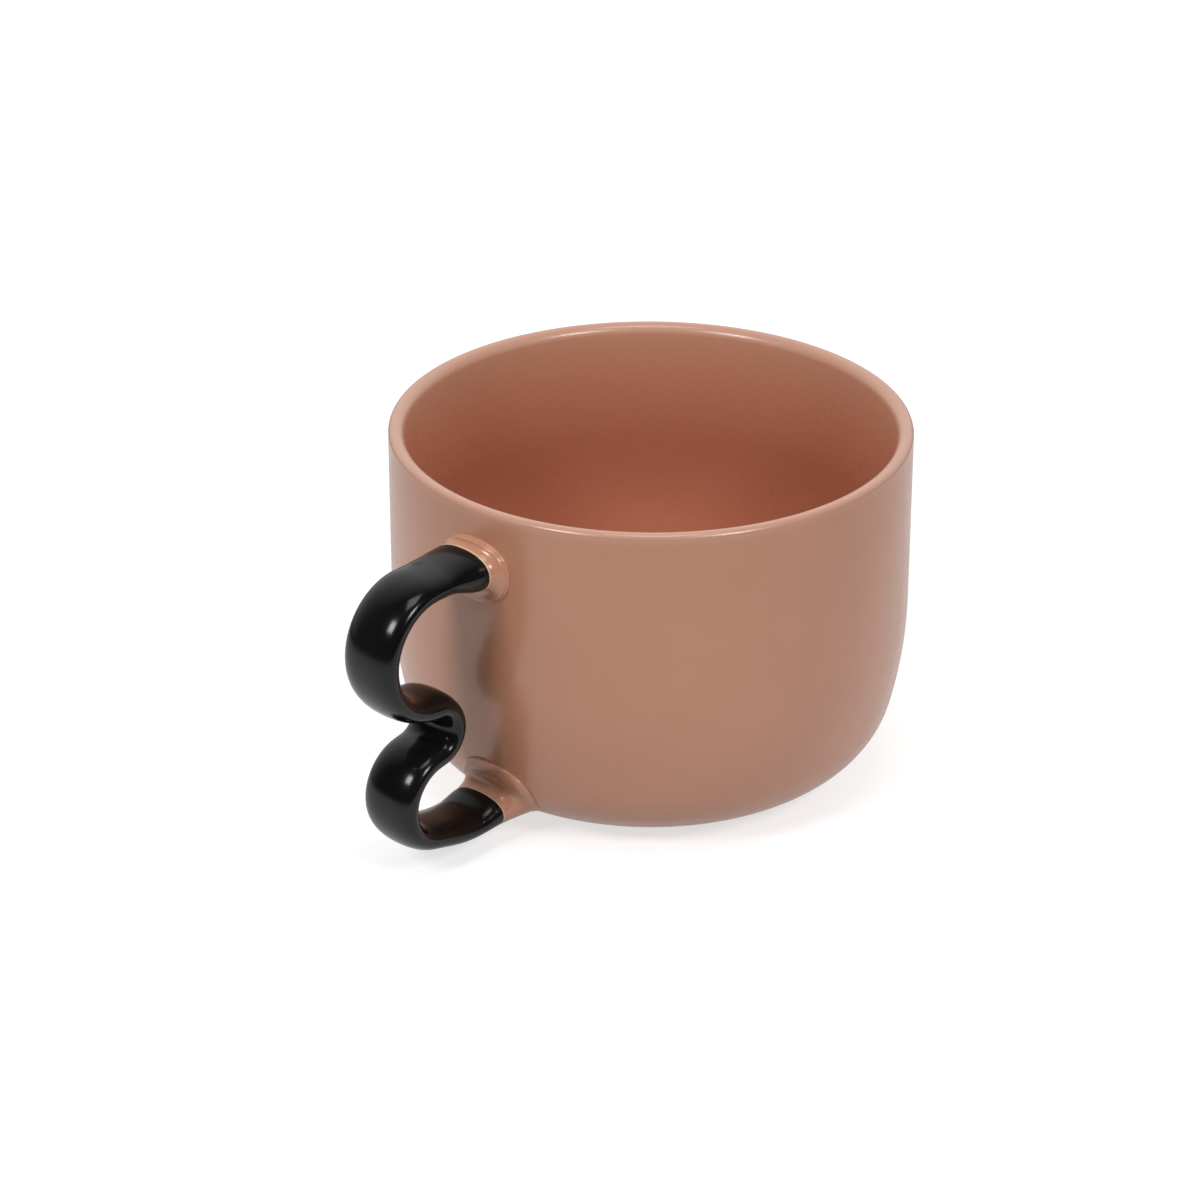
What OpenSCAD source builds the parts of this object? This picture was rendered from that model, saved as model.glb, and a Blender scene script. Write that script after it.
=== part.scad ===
// Cappuccino cup with a wavy strap handle, glazed stoneware, in millimetres.
// The foot ring stands on z = 0, the cup's axis is the z axis and the handle points along +x.

/* [Cup body] */
// Outside diameter of the straight wall
cup_d = 104; // [92:1:118]
// Height from the table to the top of the rim
cup_h = 72.5; // [66:0.5:84]
// Thickness of the wall
wall_t = 3.2; // [2.4:0.1:4.4]
// Radius of the rim's outer edge, where the inner edge takes the rest of the wall
rim_r = 1.2; // [0.6:0.1:1.8]
// Thickness of the floor over the foot ring
floor_t = 4.5; // [3.2:0.1:6.5]
// Height above the base at which the straight wall starts to curve in
curve_up = 35; // [31:0.5:40]
// Radius of the slow curve below the straight wall
curve_r = 88; // [74:1:110]
// Radius of the tight curve that turns under into the base
corner_r = 18; // [14:0.5:22]
// Radius of the tight curve inside, where the wall meets the floor
inner_corner_r = 15; // [11:0.5:20]

/* [Foot ring] */
// Height of the unglazed ring under the base
foot_h = 1.2; // [0.8:0.1:2.4]
// Width of the ring
foot_w = 4.5; // [3:0.1:7]
// Step in from the edge of the flat base to the ring
foot_step = 0.5; // [0.2:0.1:3]
// Radius of the ring's two rubbed edges
foot_edge = 0.5; // [0.2:0.1:0.7]
// Depth of the hollow turned into the base inside the ring
base_hollow = 0.8; // [0.3:0.1:1.6]

/* [Handle strap] */
// Width of the strap
strap_w = 13; // [10:0.1:16.5]
// Thickness of the strap in the middle of its oval section
strap_t = 5.3; // [4:0.1:6.6]
// Fullness of the oval, where 2 is an ellipse and more is squarer
strap_full = 2.25; // [2:0.05:3.2]
// Distance from the wall to the upright line through the centres of the upper bend and the waist
bends_out = 14.6; // [13:0.1:20]
// How much nearer to the wall the centre of the lower bend stands
lower_in = 0.6; // [0:0.1:0.8]
// Drop from the rim to the middle of the level upper arm
arm_drop = 11.4; // [9.5:0.1:16]
// Height of the centre of the waist above the base
waist_up = 29.6; // [26:0.2:33]
// Height of the lowest point of the lower bend's middle line above the base
strap_low = 6.7; // [6:0.1:9]
// Radius of the waist, to the middle of the strap
waist_r = 5.3; // [4.2:0.1:6.4]
// Slope of the straight run from the upper bend down to the waist, in degrees
upper_slope = 6; // [3:0.5:20]
// Slope of the straight run from the waist down to the lower bend, in degrees
lower_slope = 9.5; // [5:0.5:20]
// Fall of the lower arm where it leaves the lower bend, in degrees
arm_fall = 15; // [8:0.5:16]
// Length of the falling run before the lower arm levels out
fall_run = 5.5; // [3:0.1:6]
// Radius of the bend that levels the lower arm
level_r = 26; // [18:0.5:30]

/* [Handle roots] */
// Distance from the wall to the black glaze on the upper arm
upper_bare = 2.1; // [1.5:0.1:4.5]
// Distance from the wall to the black glaze on the lower arm
lower_bare = 6.2; // [4:0.1:8]
// Width of the upper root where it meets the wall
upper_foot_w = 16.5; // [15:0.1:20]
// Height of the upper root where it meets the wall
upper_foot_h = 12.9; // [11:0.1:16]
// Drop of the upper root's foot below the middle of its arm
upper_foot_drop = 1.4; // [0:0.1:2]
// How far the upper root's foot sits to the side of the handle's middle
upper_foot_aside = 1.1; // [0:0.1:2]
// Height of the upper root's rolled edge over the slip
upper_lip = 0.7; // [0.4:0.1:1.2]
// Width of the lower root where it meets the wall
lower_foot_w = 16.8; // [15:0.1:20]
// Height of the lower root where it meets the wall
lower_foot_h = 12.8; // [11:0.1:15]
// Rise of the lower root's foot above the lowest point of the lower bend's middle line
lower_foot_rise = 2.5; // [2:0.1:4]
// How far the lower root's foot sits to the side of the handle's middle
lower_foot_aside = 2.3; // [0:0.1:3]
// Height of the lower root's rolled edge over the slip
lower_lip = 0.6; // [0.4:0.1:1.2]

/* [Slip seams] */
// Thickness of the slip that sticks a root to the wall
seam_t = 0.6; // [0.4:0.05:1]
// How far the slip squeezes out round a root
seam_bead = 0.2; // [0.1:0.05:0.6]

/* [Hidden] */
$fn = 128;
// Points round the strap's section, and steps for each round stretch
around = 32;
arc_steps = 16;
// Gap left where a seam follows the curved wall, so that its flat facets stay clear
touch = 0.03;

// The wall's outline: a straight side, a slow curve and a tight corner that meet tangent
cup_r = cup_d / 2;
base_z = foot_h;
curve_z = base_z + curve_up;
slow_c = [cup_r - curve_r, curve_z];
function corner_centre(big, small, low) =
    [slow_c[0] + sqrt(pow(big - small, 2) - pow(curve_z - low - small, 2)), low + small];
function corner_turn(big, small, low) = asin((curve_z - low - small) / (big - small));
corner_c = corner_centre(curve_r, corner_r, base_z);
turn = corner_turn(curve_r, corner_r, base_z);
floor_z = base_z + floor_t;
inner_r = curve_r - wall_t;
inner_c = corner_centre(inner_r, inner_corner_r, floor_z);
inner_turn = corner_turn(inner_r, inner_corner_r, floor_z);
slow_end_z = corner_c[1] - corner_r * sin(turn);
// Outer radius of the cup at a height
function wall_r(z) =
    z >= curve_z ? cup_r :
    z >= slow_end_z ? slow_c[0] + sqrt(pow(curve_r, 2) - pow(curve_z - z, 2)) :
    corner_c[0] + sqrt(max(0, pow(corner_r, 2) - pow(corner_c[1] - z, 2)));
// Point at a distance from the wall, found from its sideways place and its height
function off_wall(y, z, gap) = [sqrt(pow(wall_r(z), 2) - y * y) + gap, y, z];
function arc(c, r, from, to, steps) =
    [for (i = [0:steps]) let (a = from + (to - from) * i / steps) c + r * [cos(a), sin(a)]];

// The foot ring's radii
foot_out = corner_c[0] - foot_step;
foot_in = foot_out - foot_w;

// The strap's middle line: a belt round three bends, with straight runs tangent to them
arm_z = cup_h - arm_drop;
waist_z = base_z + waist_up;
low_z = base_z + strap_low;
upper_r = ((arm_z - waist_z) * cos(upper_slope) - waist_r) / (1 + cos(upper_slope));
lower_r = ((waist_z - low_z) * cos(lower_slope) + lower_in * sin(lower_slope) - waist_r)
          / (1 + cos(lower_slope));
bends_x = cup_r + bends_out;
upper_c = [bends_x, arm_z - upper_r];
waist_c = [bends_x, waist_z];
lower_c = [bends_x - lower_in, low_z + lower_r];
// The lower arm falls from its bend and levels out before it reaches the wall
fall_from = lower_c + lower_r * [sin(arm_fall), -cos(arm_fall)];
level_c = fall_from + fall_run * [-cos(arm_fall), -sin(arm_fall)] + level_r * [-sin(arm_fall), cos(arm_fall)];
level_z = level_c[1] - level_r;
// Each level arm swells on its way to the wall: the strap ends at the black edge, and the root goes on
upper_flare_x = cup_r + upper_bare + 0.75 * (bends_out - upper_bare);
lower_flare_x = level_c[0];
upper_plane = cup_r + seam_t;
lower_plane = wall_r(level_z) + seam_t;
upper_foot_z = arm_z - upper_foot_drop;
lower_foot_z = low_z + lower_foot_rise;

// One oval section as a closed ring of points [across, up]
function oval(half_w, half_t, full) =
    [for (i = [0:around - 1])
        let (a = 360 * i / around, c = cos(a), s = sin(a))
        [half_w * sign(c) * pow(abs(c), 2 / full), half_t * sign(s) * pow(abs(s), 2 / full)]];
// The strap's section stood square to its middle line
function stand(p, heading) =
    [for (q = oval(strap_w / 2, strap_t / 2, strap_full))
        [p[0] - q[1] * sin(heading), q[0], p[1] + q[1] * cos(heading)]];
// Even steps of about ten degrees round a bend, both ends included
function bend(from, to) =
    let (n = ceil(abs(to - from) / 10)) [for (i = [0:n]) from + (to - from) * i / n];
function reversed(list) = [for (i = [len(list) - 1:-1:0]) list[i]];

// A root's foot on the wall as a ring, at a share of its full size and a gap from the wall
function upper_foot(share, gap, bead = 0) =
    [for (q = oval(upper_foot_w / 2 + bead, upper_foot_h / 2 + bead, 2.3))
        off_wall(upper_foot_aside + share * q[0], upper_foot_z + share * q[1], gap)];
function lower_foot(share, gap, bead = 0) =
    [for (q = oval(lower_foot_w / 2 + bead, lower_foot_h / 2 + bead, 2.3))
        off_wall(lower_foot_aside + share * q[0], lower_foot_z - share * q[1], gap)];
// The foot's face, as rings from its edge to its middle
face_shares = [1, 0.67, 0.34, 0.03];

// A ring of a handle's end, grown from the strap's section towards the foot by shares across and up.
// It stands at a gap from the slip, with a hug of 0 on a flat plane and a hug of 1 round the wall.
function swell(from, to, plane, grown, gap, hug) =
    [for (i = [0:around - 1])
        let (y = from[i][1] + (to[i][1] - from[i][1]) * grown[0],
             z = from[i][2] + (to[i][2] - from[i][2]) * grown[1],
             curve = off_wall(y, z, seam_t)[0] - plane)
        [plane + gap + curve * hug, y, z]];
// On the strap the arm swells a little, from its level start to the black edge
function arm_ring(from, to, plane, bare, neck, share) =
    swell(from, to, plane, neck * share * share * (3 - 2 * share),
          (from[0][0] - plane) * (1 - share) + bare * share, 0);
// A root sweeps out from the black edge to its crest, between straight and hollow
function sweep_ring(from, to, plane, bare, neck, lip, crest, hollow, share) =
    let (out = share + (1 - cos(90 * share) - share) * hollow,
         left = 1 - share + (share - sin(90 * share)) * hollow)
    swell(from, to, plane, neck + ([crest, crest] - neck) * out, lip + (bare - lip) * left, out);
// Past its crest it rolls down towards the wall, as far as the slip
function roll_ring(from, to, plane, lip, crest, share) =
    let (last = acos(seam_t / (lip + seam_t)),
         grown = crest + (1 - crest) * sin(last * share) / sin(last))
    swell(from, to, plane, [grown, grown], (lip + seam_t) * cos(last * share) - seam_t, 1);

// Growth of each arm at the black edge, across and up, then at the root's crest
upper_neck = [0.4, 0.4];
lower_neck = [0.1, 0.18];
upper_crest = 0.85;
lower_crest = 0.87;
// Hollow of each root's sweep, from 0 for straight to 1 for a quarter round
upper_hollow = 0.9;
lower_hollow = 0.5;
sweep_steps = 6;
roll_steps = 3;
upper_start = stand([upper_flare_x, arm_z], 0);
lower_start = stand([lower_flare_x, level_z], 180);
upper_end = upper_foot(1, seam_t);
lower_end = lower_foot(1, seam_t);
function upper_arm(share) = arm_ring(upper_start, upper_end, upper_plane, upper_bare, upper_neck, share);
function lower_arm(share) = arm_ring(lower_start, lower_end, lower_plane, lower_bare, lower_neck, share);
upper_root = [
    for (i = [0:sweep_steps - 1]) sweep_ring(upper_start, upper_end, upper_plane, upper_bare, upper_neck,
                                             upper_lip, upper_crest, upper_hollow, i / sweep_steps),
    for (i = [0:roll_steps]) roll_ring(upper_start, upper_end, upper_plane, upper_lip, upper_crest,
                                       i / roll_steps)];
lower_root = [
    for (i = [0:sweep_steps - 1]) sweep_ring(lower_start, lower_end, lower_plane, lower_bare, lower_neck,
                                             lower_lip, lower_crest, lower_hollow, i / sweep_steps),
    for (i = [0:roll_steps]) roll_ring(lower_start, lower_end, lower_plane, lower_lip, lower_crest,
                                       i / roll_steps)];

// A solid skinned over a run of rings, closed at each end by a fan of triangles round its middle
function middle(ring) = [for (k = [0:2]) [for (q = ring) q[k]] * [for (q = ring) 1] / len(ring)];
module skin(rings) {
    n = len(rings[0]);
    m = len(rings);
    last = (m - 1) * n;
    polyhedron(
        points = [for (r = rings) each r, middle(rings[0]), middle(rings[m - 1])],
        faces = [
            for (j = [0:n - 1]) [m * n, j, (j + 1) % n],
            for (i = [0:m - 2]) for (j = [0:n - 1])
                let (a = i * n + j, b = i * n + (j + 1) % n) each [[a, a + n, b], [b, a + n, b + n]],
            for (j = [0:n - 1]) [m * n + 1, last + (j + 1) % n, last + j]
        ],
        convexity = 6
    );
}

// Body: a straight-sided bowl in one piece with its floor, and a round rim that is slower inside
module cup_body() {
    inner_rim_r = wall_t - rim_r;
    rim_x = cup_r - rim_r;
    color([0.70, 0.50, 0.42])
    rotate_extrude()
    polygon(concat(
        [[0, base_z + base_hollow], [foot_in - base_hollow, base_z + base_hollow], [foot_in, base_z]],
        arc(corner_c, corner_r, -90, -turn, arc_steps),
        arc(slow_c, curve_r, -turn, 0, arc_steps / 2),
        arc([rim_x, cup_h - rim_r], rim_r, 0, 90, arc_steps / 2),
        arc([rim_x, cup_h - inner_rim_r], inner_rim_r, 90, 180, arc_steps / 2),
        arc(slow_c, inner_r, 0, -inner_turn, arc_steps / 2),
        arc(inner_c, inner_corner_r, -inner_turn, -90, arc_steps),
        [[0, floor_z]]
    ));
}

// Foot ring: turned under the base, wiped free of glaze and rubbed smooth to stand on
module foot_ring() {
    edge = foot_edge;
    color([0.86, 0.80, 0.72])
    rotate_extrude()
    polygon(concat(
        [[foot_in, foot_h]],
        arc([foot_in + edge, edge], edge, 180, 270, 6),
        arc([foot_out - edge, edge], edge, 270, 360, 6),
        [[foot_out, foot_h]]
    ));
}

// Strap: pulled clay with an oval section, bent out, in and out again, and glazed black
module handle_strap() {
    color([0.05, 0.05, 0.05])
    skin(concat(
        [for (k = [1, 0.75, 0.5, 0.25, 0]) upper_arm(k)],
        [for (a = bend(0, upper_slope - 180)) stand(upper_c + upper_r * [-sin(a), cos(a)], a)],
        [for (a = bend(upper_slope - 180, -lower_slope)) stand(waist_c + waist_r * [sin(a), -cos(a)], a)],
        [for (a = bend(-lower_slope, arm_fall - 180)) stand(lower_c + lower_r * [-sin(a), cos(a)], a)],
        [for (a = [arm_fall, 0.5 * arm_fall]) stand(level_c + level_r * [sin(a), -cos(a)], 180 + a)],
        [for (k = [0, 0.25, 0.5, 0.75, 1]) lower_arm(k)]
    ));
}

// Roots: the flared ends of the handle, glazed with the body from the black edge to the wall
module upper_handle_root() {
    color([0.74, 0.54, 0.46])
    skin(reversed(concat(upper_root, [for (k = [1:3]) upper_foot(face_shares[k], seam_t)])));
}

module lower_handle_root() {
    color([0.74, 0.54, 0.46])
    skin(concat(lower_root, [for (k = [1:3]) lower_foot(face_shares[k], seam_t)]));
}

// Seams: the slip that sticks each root to the wall, with the rounded bead that squeezes out
module upper_slip_seam() {
    color([0.66, 0.46, 0.38])
    skin(concat(
        [for (k = reversed(face_shares)) upper_foot(k, touch, seam_bead)],
        [upper_foot(1, 0.6 * seam_t, 0.75 * seam_bead)],
        [for (k = face_shares) upper_foot(k, seam_t)]
    ));
}

module lower_slip_seam() {
    color([0.66, 0.46, 0.38])
    skin(reversed(concat(
        [for (k = reversed(face_shares)) lower_foot(k, touch, seam_bead)],
        [lower_foot(1, 0.6 * seam_t, 0.75 * seam_bead)],
        [for (k = face_shares) lower_foot(k, seam_t)]
    )));
}

cup_body();
foot_ring();
handle_strap();
upper_handle_root();
lower_handle_root();
upper_slip_seam();
lower_slip_seam();
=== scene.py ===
import math

import bmesh
import bpy
from mathutils import Matrix, Vector


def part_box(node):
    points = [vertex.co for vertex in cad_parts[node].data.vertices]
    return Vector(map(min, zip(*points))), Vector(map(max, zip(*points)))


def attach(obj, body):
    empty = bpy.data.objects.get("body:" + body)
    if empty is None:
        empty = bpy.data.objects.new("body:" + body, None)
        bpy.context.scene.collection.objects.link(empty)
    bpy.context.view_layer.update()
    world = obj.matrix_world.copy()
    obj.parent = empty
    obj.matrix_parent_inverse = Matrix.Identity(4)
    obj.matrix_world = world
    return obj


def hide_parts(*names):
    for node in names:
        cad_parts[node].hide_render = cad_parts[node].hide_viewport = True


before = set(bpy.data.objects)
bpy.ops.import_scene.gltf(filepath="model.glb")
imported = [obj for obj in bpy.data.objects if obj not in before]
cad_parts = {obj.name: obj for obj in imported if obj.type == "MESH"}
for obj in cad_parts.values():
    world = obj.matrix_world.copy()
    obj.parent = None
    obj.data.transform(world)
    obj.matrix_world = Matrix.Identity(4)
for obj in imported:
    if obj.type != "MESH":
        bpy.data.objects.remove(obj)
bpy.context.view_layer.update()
mm = 0.001

# Cup body: a straight-sided bowl of pale stoneware, made in one piece with its floor and dipped whole
# in a satin pink glaze. The rim is sponged before the firing, tight on the outside and long on the
# inside. The glaze is painted paler over the rim, partly for thinner glaze and partly as a painted
# highlight on its top-lit edge, and the inside carries painted light and shade: lighter just below
# the rim, darker at mid-depth and a little lighter again deeper down.
body_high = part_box("cup_body")[1]
foot_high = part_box("foot_ring")[1]
cup_r = body_high.x
rim_z = body_high.z
base_z = foot_high.z
wall_t = 3.2 * mm
floor_z = base_z + 4.5 * mm
curve_z = base_z + 35 * mm
curve_r = 88 * mm
corner_r = 18 * mm
inner_corner_r = 15 * mm
rim_r = 1.2 * mm
base_hollow = 0.8 * mm
foot_w = 4.5 * mm
foot_step = 0.5 * mm
body_steps = 192
corner_steps = 24
curve_steps = 12
wall_steps = 12
rim_steps = 10
inner_rim_steps = 14
slow_x = cup_r - curve_r


def corner_of(big, small, low):
    """Centre of a tight corner inside a slow curve, and how far the slow curve turns to reach it."""
    drop = curve_z - low - small
    x = slow_x + math.sqrt((big - small) ** 2 - drop ** 2)
    return (x, low + small), math.asin(drop / (big - small))


def draw_line(bm, pen, x, z):
    """Pulls a straight edge of an outline out of the pen's point and returns its far end."""
    end = bmesh.ops.extrude_vert_indiv(bm, verts=[pen])["verts"][0]
    end.co = (x, 0, z)
    return end


def draw_arc(bm, pen, centre, angle, steps):
    """Turns the pen's point about a centre, up from x to z, and returns the far end of the arc."""
    arc = bmesh.ops.spin(bm, geom=[pen], cent=(centre[0], 0, centre[1]), axis=(0, -1, 0),
                         angle=angle, steps=steps)
    return arc["geom_last"][0]


def turn_on_wheel(bm, steps):
    """Turns a drawn outline once round the cup's axis into a closed skin that faces outwards."""
    bmesh.ops.spin(bm, geom=bm.verts[:] + bm.edges[:], axis=(0, 0, 1), angle=2 * math.pi, steps=steps,
                   use_merge=True)
    bmesh.ops.remove_doubles(bm, verts=bm.verts, dist=0.001 * mm)
    bmesh.ops.recalc_face_normals(bm, faces=bm.faces)


def set_down(bm, node, material):
    """Makes the finished mesh a piece of the cup, in place of the solid of the same name."""
    mesh = bpy.data.meshes.new(node)
    bm.to_mesh(mesh)
    bm.free()
    mesh.polygons.foreach_set("use_smooth", [True] * len(mesh.polygons))
    mesh.set_sharp_from_angle(angle=math.radians(50))
    mesh.materials.append(material)
    piece = bpy.data.objects.new(node + "_fired", mesh)
    bpy.context.scene.collection.objects.link(piece)
    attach(piece, "root")
    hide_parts(node)


corner_c, turn = corner_of(curve_r, corner_r, base_z)
inner_c, inner_turn = corner_of(curve_r - wall_t, inner_corner_r, floor_z)
foot_in = corner_c[0] - foot_step - foot_w
rim_low_z = rim_z - wall_t + rim_r

bm = bmesh.new()
depth_inside = bm.verts.layers.float.new("depth_inside")
pen = bm.verts.new((0, 0, base_z + base_hollow))
pen = draw_line(bm, pen, foot_in - base_hollow, base_z + base_hollow)
pen = draw_line(bm, pen, foot_in, base_z)
pen = draw_line(bm, pen, corner_c[0], base_z)
pen = draw_arc(bm, pen, corner_c, math.pi / 2 - turn, corner_steps)
pen = draw_arc(bm, pen, (slow_x, curve_z), turn, curve_steps)
pen = draw_line(bm, pen, cup_r, rim_z - rim_r)
pen = draw_arc(bm, pen, (cup_r - rim_r, rim_z - rim_r), math.pi / 2, rim_steps)
outer_side = set(bm.verts)
pen = draw_arc(bm, pen, (cup_r - rim_r, rim_low_z), math.pi / 2, inner_rim_steps)
for step in range(1, wall_steps):
    pen = draw_line(bm, pen, cup_r - wall_t, rim_low_z + (curve_z - rim_low_z) * step / wall_steps)
pen = draw_line(bm, pen, cup_r - wall_t, curve_z)
pen = draw_arc(bm, pen, (slow_x, curve_z), -inner_turn, curve_steps)
pen = draw_arc(bm, pen, inner_c, inner_turn - math.pi / 2, corner_steps)
draw_line(bm, pen, 0, floor_z)
for v in bm.verts:
    if v not in outer_side:
        v[depth_inside] = rim_z - v.co.z
turn_on_wheel(bm, body_steps)


def paint(red, green, blue):
    """A colour as a screen shows it, from 0 to 255, in the linear values that a shader takes."""
    parts = [part / 255 for part in (red, green, blue)]
    return [p / 12.92 if p <= 0.04045 else ((p + 0.055) / 1.055) ** 2.4 for p in parts] + [1]


def add(tree, kind, **values):
    """Adds a shader node and sets its inputs by name, with spaces written as underscores."""
    made = tree.nodes.new("ShaderNode" + kind)
    for name, value in values.items():
        made.inputs[name.replace("_", " ")].default_value = value
    return made


def mix_colours(tree, share, first, second):
    """A colour between two, by a share that a socket gives. Each colour is a value or a socket."""
    mixed = tree.nodes.new("ShaderNodeMix")
    mixed.data_type = "RGBA"
    sockets = {s.identifier: s for s in mixed.inputs}
    tree.links.new(share, sockets["Factor_Float"])
    for identifier, colour in (("A_Color", first), ("B_Color", second)):
        if isinstance(colour, bpy.types.NodeSocket):
            tree.links.new(colour, sockets[identifier])
        else:
            sockets[identifier].default_value = colour
    return next(s for s in mixed.outputs if s.identifier == "Result_Color")


def span(tree, socket, low, high, to_low=0.0, to_high=1.0):
    """A socket's value from low to high, as a value from to_low to to_high, held at both ends."""
    ranged = add(tree, "MapRange", From_Min=low, From_Max=high, To_Min=to_low, To_Max=to_high)
    tree.links.new(socket, ranged.inputs["Value"])
    return ranged.outputs["Result"]


def noise(tree, place, features_per_metre, detail):
    """A soft cloudy pattern with about that many features to the metre."""
    clouds = add(tree, "TexNoise", Scale=features_per_metre, Detail=detail)
    tree.links.new(place, clouds.inputs["Vector"])
    return clouds.outputs["Fac"]


def new_material(name):
    """An empty material with a shader in it, as its node tree, its shader and its object coordinates."""
    material = bpy.data.materials.new(name)
    material.use_nodes = True
    tree = material.node_tree
    shader = tree.nodes["Principled BSDF"]
    place = tree.nodes.new("ShaderNodeTexCoord").outputs["Object"]
    return material, tree, shader, place


def orange_peel(tree, place, shader, features_per_metre, depth):
    """The faint unevenness of a melted glaze, as a bump."""
    bump = add(tree, "Bump", Strength=1.0, Distance=depth)
    tree.links.new(noise(tree, place, features_per_metre, 2), bump.inputs["Height"])
    tree.links.new(bump.outputs["Normal"], shader.inputs["Normal"])


def pink_glaze(name):
    """Satin pink glaze with a few iron specks, painted paler over the rim (thinner glaze and a painted
    highlight), with painted light and shade down the inside.
    """
    material, tree, shader, place = new_material(name)
    clouds = noise(tree, place, 34, 4)
    colour = mix_colours(tree, span(tree, clouds, 0.35, 0.65), paint(203, 143, 114), paint(207, 147, 118))
    depth_inside = tree.nodes.new("ShaderNodeAttribute")
    depth_inside.attribute_name = "depth_inside"
    depth = depth_inside.outputs["Fac"]
    # Painted light and shade inside the cup, by depth below the rim: lighter just under it, darker at
    # mid-depth, a little lighter again lower down.
    below_rim = span(tree, depth, 1.8 * mm, 12.6 * mm)
    inside_light_and_shade = mix_colours(tree, below_rim, paint(217, 163, 135), paint(206, 141, 114))
    inside_light_and_shade = mix_colours(tree, span(tree, depth, 12.6 * mm, 25.5 * mm), inside_light_and_shade, paint(185, 118, 92))
    inside_light_and_shade = mix_colours(tree, span(tree, depth, 30 * mm, 45 * mm), inside_light_and_shade, paint(200, 131, 102))
    inner = span(tree, depth, 0, 0.9 * mm)
    colour = mix_colours(tree, inner, colour, inside_light_and_shade)
    # The rim is painted paler: partly thinner glaze over its edge, partly a painted highlight where its top
    # faces the lamps.
    height = tree.nodes.new("ShaderNodeSeparateXYZ")
    tree.links.new(place, height.inputs["Vector"])
    thin_glaze_and_rim_light = span(tree, height.outputs["Z"], rim_z - 2.2 * mm, rim_z, 0, 0.6)
    colour = mix_colours(tree, thin_glaze_and_rim_light, colour, paint(215, 171, 153))
    specks = add(tree, "TexVoronoi", Scale=85)
    tree.links.new(place, specks.inputs["Vector"])
    chosen = add(tree, "SeparateColor")
    tree.links.new(specks.outputs["Color"], chosen.inputs["Color"])
    small = span(tree, specks.outputs["Distance"], 0.012, 0.022, 0.75, 0)
    rare = span(tree, chosen.outputs["Red"], 0.94, 0.95)
    small_and_rare = tree.nodes.new("ShaderNodeMath")
    small_and_rare.operation = "MULTIPLY"
    tree.links.new(small, small_and_rare.inputs[0])
    tree.links.new(rare, small_and_rare.inputs[1])
    colour = mix_colours(tree, small_and_rare.outputs["Value"], colour, paint(92, 54, 38))
    tree.links.new(colour, shader.inputs["Base Color"])
    duller = tree.nodes.new("ShaderNodeMath")
    duller.operation = "MULTIPLY_ADD"
    tree.links.new(inner, duller.inputs[0])
    duller.inputs[1].default_value = 0.03
    tree.links.new(span(tree, noise(tree, place, 260, 3), 0.3, 0.7, 0.2, 0.26), duller.inputs[2])
    tree.links.new(duller.outputs["Value"], shader.inputs["Roughness"])
    shader.inputs["Specular IOR Level"].default_value = 0.72
    orange_peel(tree, place, shader, 420, 0.012 * mm)
    return material


body_glaze = pink_glaze("satin pink glaze")
set_down(bm, "cup_body", body_glaze)

# Foot ring: turned under the base and wiped free of glaze, so that the cup doesn't stick in the kiln.
# It is bare, slightly sandy stoneware with its two edges rubbed smooth, and the cup stands on it.
foot_out = foot_high.x
foot_edge = 0.5 * mm
foot_edge_steps = 6
bm = bmesh.new()
pen = bm.verts.new((foot_in, 0, base_z))
pen = draw_line(bm, pen, foot_in, foot_edge)
pen = draw_arc(bm, pen, (foot_in + foot_edge, foot_edge), math.pi / 2, foot_edge_steps)
pen = draw_line(bm, pen, foot_out - foot_edge, 0)
pen = draw_arc(bm, pen, (foot_out - foot_edge, foot_edge), math.pi / 2, foot_edge_steps)
pen = draw_line(bm, pen, foot_out, base_z)
draw_line(bm, pen, foot_in, base_z)
turn_on_wheel(bm, body_steps)


def bare_clay(name):
    """Unglazed stoneware: pale and dry, with sandy grain and darker grog in it."""
    material, tree, shader, place = new_material(name)
    grain = noise(tree, place, 1500, 6)
    colour = mix_colours(tree, span(tree, grain, 0.35, 0.68), paint(196, 178, 156), paint(226, 211, 191))
    tree.links.new(colour, shader.inputs["Base Color"])
    shader.inputs["Roughness"].default_value = 0.85
    orange_peel(tree, place, shader, 1800, 0.05 * mm)
    return material


set_down(bm, "foot_ring", bare_clay("bare stoneware"))

# Handle strap: one length of pulled clay with an oval section, bent out from the wall, in to a waist
# and out again. It is brushed with a black gloss glaze, which ends in a rounded edge on each arm.
strap_w = 13 * mm
strap_t = 5.3 * mm
strap_full = 2.25
foot_full = 2.3
bends_x = cup_r + 14.6 * mm
lower_in = 0.6 * mm
arm_z = rim_z - 11.4 * mm
waist_z = base_z + 29.6 * mm
low_z = base_z + 6.7 * mm
waist_r = 5.3 * mm
upper_slope = math.radians(6)
lower_slope = math.radians(9.5)
arm_fall = math.radians(15)
fall_run = 5.5 * mm
level_r = 26 * mm
seam_t = 0.6 * mm
upper_bare = 2.1 * mm
upper_level = 0.75
lower_bare = 6.2 * mm
ring_points = 64
upper_steps = 32
waist_steps = 28
lower_steps = 30
level_steps = 4
arm_steps = 12
glaze_edge = 0.16 * mm
glaze_edge_steps = 4

upper_r = ((arm_z - waist_z) * math.cos(upper_slope) - waist_r) / (1 + math.cos(upper_slope))
lower_r = (((waist_z - low_z) * math.cos(lower_slope) + lower_in * math.sin(lower_slope) - waist_r)
           / (1 + math.cos(lower_slope)))
upper_c = (bends_x, arm_z - upper_r)
waist_c = (bends_x, waist_z)
lower_c = (bends_x - lower_in, low_z + lower_r)
level_c = (lower_c[0] + (lower_r - level_r) * math.sin(arm_fall) - fall_run * math.cos(arm_fall),
           lower_c[1] + (level_r - lower_r) * math.cos(arm_fall) - fall_run * math.sin(arm_fall))
level_z = level_c[1] - level_r
slow_end_z = corner_c[1] - corner_r * math.sin(turn)


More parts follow.
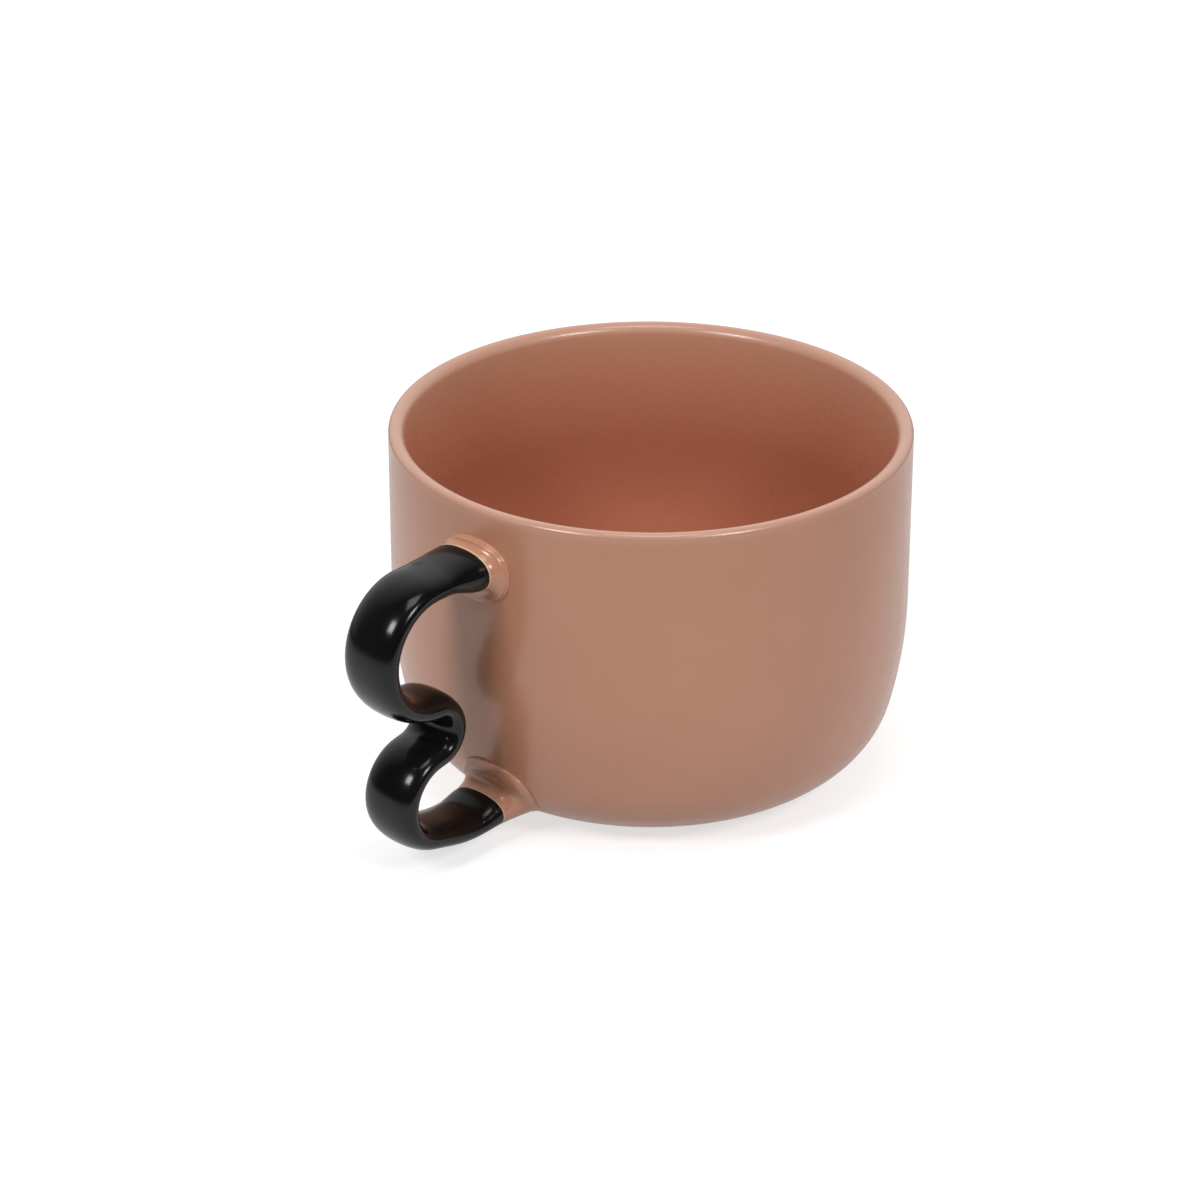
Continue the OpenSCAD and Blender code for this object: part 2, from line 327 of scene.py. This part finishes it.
def wall_x(y, z):
    """Where the cup's outer wall is, at a sideways place and a height on the handle's side."""
    if z >= curve_z:
        r = cup_r
    elif z >= slow_end_z:
        r = slow_x + math.sqrt(curve_r ** 2 - (curve_z - z) ** 2)
    else:
        r = corner_c[0] + math.sqrt(max(0, corner_r ** 2 - (corner_c[1] - z) ** 2))
    return math.sqrt(r ** 2 - y ** 2)


def oval(across, up, half_w, half_t, full):
    """A point of a unit circle, moved out on to an oval that is squarer than an ellipse."""
    fuller = [math.copysign(abs(part) ** (2 / full), part) for part in (across, up)]
    return half_w * fuller[0], half_t * fuller[1]


def ring(bm, place):
    """A closed ring of points: a unit circle whose points go where place says."""
    points = bmesh.ops.create_circle(bm, radius=1, segments=ring_points)["verts"]
    for v in points:
        v.co = place(v.co.x, v.co.y)
    return points


def hoop(points):
    """The edges that run round a ring."""
    own = set(points)
    return list(dict.fromkeys(e for v in points for e in v.link_edges if own.issuperset(e.verts)))


def loft(bm, rings):
    """A skin over a run of rings."""
    hoops = [hoop(points) for points in rings]
    for first, second in zip(hoops, hoops[1:]):
        bmesh.ops.bridge_loops(bm, edges=first + second)


def bend(bm, edges, centre, angle, steps):
    """Carries the strap's section round a bend, turning up from x to z."""
    spun = bmesh.ops.spin(bm, geom=edges, cent=(centre[0], 0, centre[1]), axis=(0, -1, 0), angle=angle,
                          steps=steps)
    return [part for part in spun["geom_last"] if isinstance(part, bmesh.types.BMEdge)]


def run(bm, edges, length, heading):
    """Carries the strap's section straight on."""
    pulled = bmesh.ops.extrude_edge_only(bm, edges=edges)["geom"]
    verts = [part for part in pulled if isinstance(part, bmesh.types.BMVert)]
    bmesh.ops.translate(bm, verts=verts, vec=(length * math.cos(heading), 0, length * math.sin(heading)))
    new = set(verts)
    return [part for part in pulled if isinstance(part, bmesh.types.BMEdge) and new.issuperset(part.verts)]


def foot_oval(arm, across, up, bead=0.0):
    """A point of a root's foot, as a place sideways and a height on the cup."""
    y, z = oval(across, up, arm["foot_w"] / 2 + bead, arm["foot_h"] / 2 + bead, foot_full)
    return arm["aside"] + y, arm["foot_z"] + z


def swell(arm, grown, gap, hug):
    """Where a point of a ring goes on an arm: grown from the strap's section towards the root's foot, at a
    gap from the slip, whose flat middle a hug of 0 follows and whose curve on the wall a hug of 1."""
    def place(across, up):
        y0, z0 = oval(across, up, strap_w / 2, strap_t / 2, strap_full)
        y1, z1 = foot_oval(arm, across, up)
        y = y0 + (y1 - y0) * grown[0]
        z = arm["z"] + z0 + (z1 - arm["z"] - z0) * grown[1]
        return arm["plane"] + gap + (wall_x(y, z) + seam_t - arm["plane"]) * hug, y, z

    return place


def arm_place(arm, share):
    """A ring on an arm, from its level start at share 0 to the black edge at share 1."""
    ease = share * share * (3 - 2 * share)
    gap = arm["x"] - arm["plane"] + (arm["bare"] - arm["x"] + arm["plane"]) * share
    return swell(arm, [ease * neck for neck in arm["neck"]], gap, 0)


upper_arm = {"x": cup_r + upper_bare + upper_level * (bends_x - cup_r - upper_bare), "z": arm_z,
             "plane": cup_r + seam_t, "bare": upper_bare, "foot_w": 16.5 * mm, "foot_h": 12.9 * mm,
             "foot_z": arm_z - 1.4 * mm, "aside": 1.1 * mm, "neck": (0.4, 0.4), "crest": 0.85,
             "lip": 0.7 * mm, "hollow": 0.7, "hair": 0.42 * mm}
lower_arm = {"x": level_c[0], "z": level_z, "plane": wall_x(0, level_z) + seam_t, "bare": lower_bare,
             "foot_w": 16.8 * mm, "foot_h": 12.8 * mm, "foot_z": low_z + 2.5 * mm, "aside": 2.3 * mm,
             "neck": (0.1, 0.18), "crest": 0.7, "lip": 0.45 * mm, "hollow": 0.35, "hair": 0.25 * mm}

bm = bmesh.new()
shares = [i / arm_steps for i in range(arm_steps + 1)]
rings = [ring(bm, arm_place(upper_arm, 1 - share)) for share in shares]
loft(bm, rings)
section = run(bm, hoop(rings[-1]), bends_x - upper_arm["x"], 0)
section = bend(bm, section, upper_c, upper_slope - math.pi, upper_steps)
upper_run = math.sqrt((upper_c[1] - waist_c[1]) ** 2 - (upper_r + waist_r) ** 2)
section = run(bm, section, upper_run, upper_slope - math.pi)
section = bend(bm, section, waist_c, math.pi - upper_slope - lower_slope, waist_steps)
lower_run = math.sqrt(lower_in ** 2 + (waist_c[1] - lower_c[1]) ** 2 - (lower_r + waist_r) ** 2)
section = run(bm, section, lower_run, -lower_slope)
section = bend(bm, section, lower_c, lower_slope + arm_fall - math.pi, lower_steps)
section = run(bm, section, fall_run, arm_fall - math.pi)
section = bend(bm, section, level_c, -arm_fall, level_steps)
loft(bm, [ring(bm, arm_place(lower_arm, share)) for share in shares])
bmesh.ops.remove_doubles(bm, verts=bm.verts, dist=0.002 * mm)
ends = [edge for edge in bm.edges if edge.is_boundary]
bmesh.ops.holes_fill(bm, edges=ends)
bmesh.ops.recalc_face_normals(bm, faces=bm.faces)
bmesh.ops.bevel(bm, geom=ends, offset=glaze_edge, segments=glaze_edge_steps, profile=0.5, affect="EDGES",
                material=-1)


def black_glaze(name):
    """Gloss black glaze, brushed on: nearly even, a little duller in soft patches."""
    material, tree, shader, place = new_material(name)
    patches = noise(tree, place, 70, 3)
    colour = mix_colours(tree, span(tree, patches, 0.35, 0.65), paint(13, 13, 14), paint(20, 20, 21))
    tree.links.new(colour, shader.inputs["Base Color"])
    tree.links.new(span(tree, noise(tree, place, 160, 3), 0.3, 0.7, 0.14, 0.19), shader.inputs["Roughness"])
    shader.inputs["Specular IOR Level"].default_value = 0.36
    orange_peel(tree, place, shader, 380, 0.01 * mm)
    return material


set_down(bm, "handle_strap", black_glaze("gloss black glaze"))

# Handle roots: the flared ends of the same length of clay, pressed on the wall. The pink glaze of the
# body covers them up to the black, and a hair of bare clay shows between the two glazes.
sweep_steps = 12
roll_steps = 10
face_shares = [0.8, 0.6, 0.4, 0.2, 0.03]


def foot(arm, share, gap, bead=0.0):
    """A place on the wall under a root, at a share of the foot's size and a gap from the wall."""
    def place(across, up):
        y, z = foot_oval(arm, across, up, bead)
        y, z = arm["aside"] + share * (y - arm["aside"]), arm["foot_z"] + share * (z - arm["foot_z"])
        return wall_x(y, z) + gap, y, z

    return place


def sweep(arm, share):
    """A ring on the sweep from the black edge out to the root's crest, between straight and hollow."""
    turned = math.pi / 2 * share
    out = share + (1 - math.cos(turned) - share) * arm["hollow"]
    left = 1 - share + (share - math.sin(turned)) * arm["hollow"]
    grown = [neck + (arm["crest"] - neck) * out for neck in arm["neck"]]
    return swell(arm, grown, arm["lip"] + (arm["bare"] - arm["lip"]) * left, out)


def roll(arm, share):
    """A ring on the rolled edge past the crest, which turns down towards the wall as far as the slip."""
    high = arm["lip"] + seam_t
    last = math.acos(seam_t / high)
    grown = arm["crest"] + (1 - arm["crest"]) * math.sin(last * share) / math.sin(last)
    return swell(arm, (grown, grown), high * math.cos(last * share) - seam_t, 1)


def handle_root(arm):
    """A root's closed skin, from the black to its foot. Each point keeps how far it is from the black."""
    bm = bmesh.new()
    from_black = bm.verts.layers.float.new("from_black")
    places = [sweep(arm, i / sweep_steps) for i in range(sweep_steps)]
    places += [roll(arm, i / roll_steps) for i in range(roll_steps + 1)]
    places += [foot(arm, share, seam_t) for share in face_shares]
    rings = [ring(bm, place) for place in places]
    for before, after in zip(rings, rings[1:]):
        for v, w in zip(before, after):
            w[from_black] = v[from_black] + (w.co - v.co).length
    loft(bm, rings)
    ends = [edge for edge in bm.edges if edge.is_boundary]
    bmesh.ops.holes_fill(bm, edges=ends)
    bmesh.ops.recalc_face_normals(bm, faces=bm.faces)
    bmesh.ops.bevel(bm, geom=hoop(rings[0]), offset=glaze_edge, segments=glaze_edge_steps, profile=0.5,
                    affect="EDGES", material=-1)
    return bm


def root_glaze(name, hair):
    """The body's pink glaze, with a hair of bare clay where it stops short of the black."""
    material = pink_glaze(name)
    tree = material.node_tree
    shader = tree.nodes["Principled BSDF"]
    glazed = shader.inputs["Base Color"].links[0].from_socket
    place = next(n for n in tree.nodes if n.bl_idname == "ShaderNodeTexCoord").outputs["Object"]
    from_black = tree.nodes.new("ShaderNodeAttribute")
    from_black.attribute_name = "from_black"
    wander = tree.nodes.new("ShaderNodeMath")
    wander.operation = "MULTIPLY_ADD"
    tree.links.new(noise(tree, place, 300, 2), wander.inputs[0])
    wander.inputs[1].default_value = hair
    tree.links.new(from_black.outputs["Fac"], wander.inputs[2])
    bare = span(tree, wander.outputs["Value"], hair, 1.4 * hair, 1, 0)
    tree.links.new(mix_colours(tree, bare, glazed, paint(226, 196, 168)), shader.inputs["Base Color"])
    return material


for side, arm in (("upper", upper_arm), ("lower", lower_arm)):
    glaze = root_glaze(side + " root glaze", arm["hair"])
    set_down(handle_root(arm), side + "_handle_root", glaze)

# Slip seams: the liquid clay that sticks each root to the wall. It squeezes out round the foot in a
# low rounded bead, and the pink glaze runs over it.
seam_bead = 0.2 * mm
bead_steps = 6
wall_clear = 0.03 * mm
for side, arm in (("upper", upper_arm), ("lower", lower_arm)):
    bm = bmesh.new()
    under = [foot(arm, share, wall_clear, seam_bead) for share in reversed(face_shares)]
    bulge = []
    for i in range(bead_steps + 1):
        a = math.pi / 2 * i / bead_steps
        high = wall_clear + (seam_t - wall_clear) * math.sin(a)
        bulge.append(foot(arm, 1, high, seam_bead * math.cos(a)))
    over = [foot(arm, share, seam_t) for share in face_shares]
    loft(bm, [ring(bm, place) for place in under + bulge + over])
    bmesh.ops.holes_fill(bm, edges=[edge for edge in bm.edges if edge.is_boundary])
    bmesh.ops.recalc_face_normals(bm, faces=bm.faces)
    set_down(bm, side + "_slip_seam", body_glaze)

# Studio: a floor that runs out of sight and shows white to the camera, though its own colour darkens away
# from the cup, two softboxes in front to the left and the right, a broad one overhead, and a white room
# behind that is darker on the side of the camera.
view_side = math.radians(42)
view_up = math.radians(26.74)
camera_far = 0.8112
lens = 123
photo_right = 10.07 * mm
photo_up = 35.27 * mm
towards = Vector((math.cos(view_side), math.sin(view_side), 0))
right = Vector((-math.sin(view_side), math.cos(view_side), 0))
back = towards * math.cos(view_up) + Vector((0, 0, math.sin(view_up)))
up = back.cross(right)

bm = bmesh.new()
bmesh.ops.create_grid(bm, x_segments=1, y_segments=1, size=6)
floor_mesh = bpy.data.meshes.new("studio_floor")
bm.to_mesh(floor_mesh)
bm.free()
floor = bpy.data.objects.new("studio_floor", floor_mesh)
bpy.context.scene.collection.objects.link(floor)
material, tree, shader, place = new_material("white floor")
shader.inputs["Roughness"].default_value = 0.9
shader.inputs["Specular IOR Level"].default_value = 0.1
from_cup = tree.nodes.new("ShaderNodeVectorMath")
from_cup.operation = "LENGTH"
tree.links.new(place, from_cup.inputs[0])
near = from_cup.outputs["Value"]
# The floor's colour darkens away from the cup, so that it shows dark in reflections and bounces less light,
# while the camera still sees it white.
white = mix_colours(tree, span(tree, near, 0.3, 0.7), (0.58, 0.58, 0.58, 1), (0.1, 0.1, 0.1, 1))
tree.links.new(white, shader.inputs["Base Color"])
rays = tree.nodes.new("ShaderNodeLightPath")
glow = mix_colours(tree, rays.outputs["Is Glossy Ray"], (0, 0, 0, 1), span(tree, near, 0.1, 0.5, 0.4, 0))
glow = mix_colours(tree, rays.outputs["Is Camera Ray"], glow, span(tree, near, 0.3, 0.7, 0.66, 1))
tree.links.new(glow, shader.inputs["Emission Color"])
shader.inputs["Emission Strength"].default_value = 1
material.cycles.emission_sampling = "NONE"
floor_mesh.materials.append(material)

world = bpy.data.worlds.new("studio room")
bpy.context.scene.world = world
world.use_nodes = True
tree = world.node_tree
room = tree.nodes["Background"]
way = tree.nodes.new("ShaderNodeTexCoord").outputs["Generated"]
behind = tree.nodes.new("ShaderNodeVectorMath")
behind.operation = "DOT_PRODUCT"
tree.links.new(way, behind.inputs[0])
behind.inputs[1].default_value = -towards
rays = tree.nodes.new("ShaderNodeLightPath")
lit = span(tree, behind.outputs["Value"], -0.7, 0.7)
walls = mix_colours(tree, lit, (0.06, 0.06, 0.06, 1), (0.74, 0.74, 0.74, 1))
lit = span(tree, behind.outputs["Value"], 0.1, 0.7)
mirrored = mix_colours(tree, lit, (0.04, 0.04, 0.04, 1), (0.85, 0.85, 0.85, 1))
seen = mix_colours(tree, rays.outputs["Is Glossy Ray"], walls, mirrored)
seen = mix_colours(tree, rays.outputs["Is Camera Ray"], seen, (1, 1, 1, 1))
tree.links.new(seen, room.inputs["Color"])


def softbox(name, side, height, distance, size, watts):
    """A square soft light at an angle to the right of the camera and a height, aimed at the cup."""
    light = bpy.data.lights.new(name, "AREA")
    light.shape = "SQUARE"
    light.size = size
    light.energy = watts
    lamp = bpy.data.objects.new(name, light)
    bpy.context.scene.collection.objects.link(lamp)
    away = towards * math.cos(side) + right * math.sin(side)
    away = away * math.cos(height) + Vector((0, 0, math.sin(height)))
    aim = Vector((0, 0, rim_z / 2))
    lamp.location = aim + away * distance
    lamp.rotation_mode = "QUATERNION"
    lamp.rotation_quaternion = away.to_track_quat("Z", "Y")
    lamp.visible_camera = False


softbox("left softbox", math.radians(-44), math.radians(41), 1.3, 0.32, 5.2)
softbox("right softbox", math.radians(38), math.radians(41), 1.3, 0.32, 4.9)
softbox("overhead softbox", math.radians(10), math.radians(80), 1.3, 0.5, 2.8)

camera_data = bpy.data.cameras.new("camera")
camera_data.sensor_width = 36
camera_data.lens = lens
camera = bpy.data.objects.new("camera", camera_data)
bpy.context.scene.collection.objects.link(camera)
camera.matrix_world = Matrix((right, up, back)).transposed().to_4x4()
camera.location = Vector((0, 0, rim_z)) + back * camera_far - right * photo_right - up * photo_up
bpy.context.scene.camera = camera
bpy.context.scene.view_settings.view_transform = "Standard"
